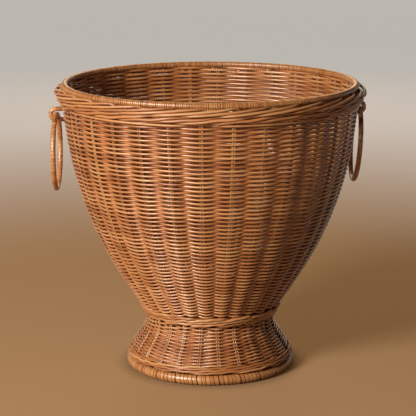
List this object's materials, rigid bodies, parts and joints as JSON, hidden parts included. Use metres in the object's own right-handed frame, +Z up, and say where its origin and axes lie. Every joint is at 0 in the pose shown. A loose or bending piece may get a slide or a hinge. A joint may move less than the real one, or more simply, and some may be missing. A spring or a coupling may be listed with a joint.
{
  "type": "woven rattan vase",
  "caption": "Urn-shaped woven rattan vase on a flared woven foot, with a rod border, wrapped hoops and ring handles that swing in wrapped eyes.",
  "frame": {"origin": "on the floor, under the middle of the foot", "axes": "+Z up along the vase's axis, -X through the left ring handle, -Y towards the side that the picture shows"},
  "size_m": [0.3701, 0.3578, 0.3351],
  "materials": {
    "stake_cane": "natural round cane, satin",
    "weave_cane": "stained round cane, satin lacquer",
    "wale_cane": "stained round rod, satin lacquer",
    "binding_cane": "stained flat cane, satin lacquer",
    "hoop_rod": "bare bent rod"
  },
  "bodies": {
    "vase": {"foot_stake_01": "stake_cane", "foot_stake_02": "stake_cane", "foot_stake_03": "stake_cane", "foot_stake_04": "stake_cane", "foot_stake_05": "stake_cane", "foot_stake_06": "stake_cane", "foot_stake_07": "stake_cane", "foot_stake_08": "stake_cane", "foot_stake_09": "stake_cane", "foot_stake_10": "stake_cane", "foot_stake_11": "stake_cane", "foot_stake_12": "stake_cane", "foot_stake_13": "stake_cane", "foot_stake_14": "stake_cane", "foot_stake_15": "stake_cane", "foot_stake_16": "stake_cane", "foot_stake_17": "stake_cane", "foot_stake_18": "stake_cane", "foot_stake_19": "stake_cane", "foot_stake_20": "stake_cane", "foot_stake_21": "stake_cane", "foot_stake_22": "stake_cane", "foot_stake_23": "stake_cane", "foot_stake_24": "stake_cane", "bowl_cane_01": "stake_cane", "bowl_cane_02": "stake_cane", "bowl_cane_03": "stake_cane", "bowl_cane_04": "stake_cane", "bowl_cane_05": "stake_cane", "bowl_cane_06": "stake_cane", "bowl_cane_07": "stake_cane", "bowl_cane_08": "stake_cane", "bowl_cane_09": "stake_cane", "bowl_cane_10": "stake_cane", "bowl_cane_11": "stake_cane", "bowl_cane_12": "stake_cane", "bowl_cane_13": "stake_cane", "bowl_cane_14": "stake_cane", "bowl_cane_15": "stake_cane", "foot_wale": "wale_cane", "foot_weave": "weave_cane", "neck_wale": "wale_cane", "bowl_weave": "weave_cane", "upper_wale": "wale_cane", "foot_hoop": "hoop_rod", "foot_binding": "binding_cane", "rim_hoop": "hoop_rod", "rim_binding": "binding_cane", "rim_border": "wale_cane", "base_stick_lower_1": "stake_cane", "base_stick_lower_2": "stake_cane", "base_stick_lower_3": "stake_cane", "base_stick_upper_1": "stake_cane", "base_stick_upper_2": "stake_cane", "base_stick_upper_3": "stake_cane", "base_weave": "weave_cane", "right_eye": "binding_cane", "left_eye": "binding_cane"},
    "left_ring": {"left_ring": "binding_cane"},
    "right_ring": {"right_ring": "binding_cane"}
  },
  "joints": [
    {"name": "left_ring_swing", "type": "hinge", "parent": "vase", "child": "left_ring", "pos_m": [-0.1765, 0, 0.2986], "axis": [0.1219, 0.9925, 0], "range_deg": [-10, 160]},
    {"name": "right_ring_swing", "type": "hinge", "parent": "vase", "child": "right_ring", "pos_m": [0.17607, 0.01231, 0.2986], "axis": [-0.0837, -0.9965, 0], "range_deg": [-6, 160]}
  ]
}
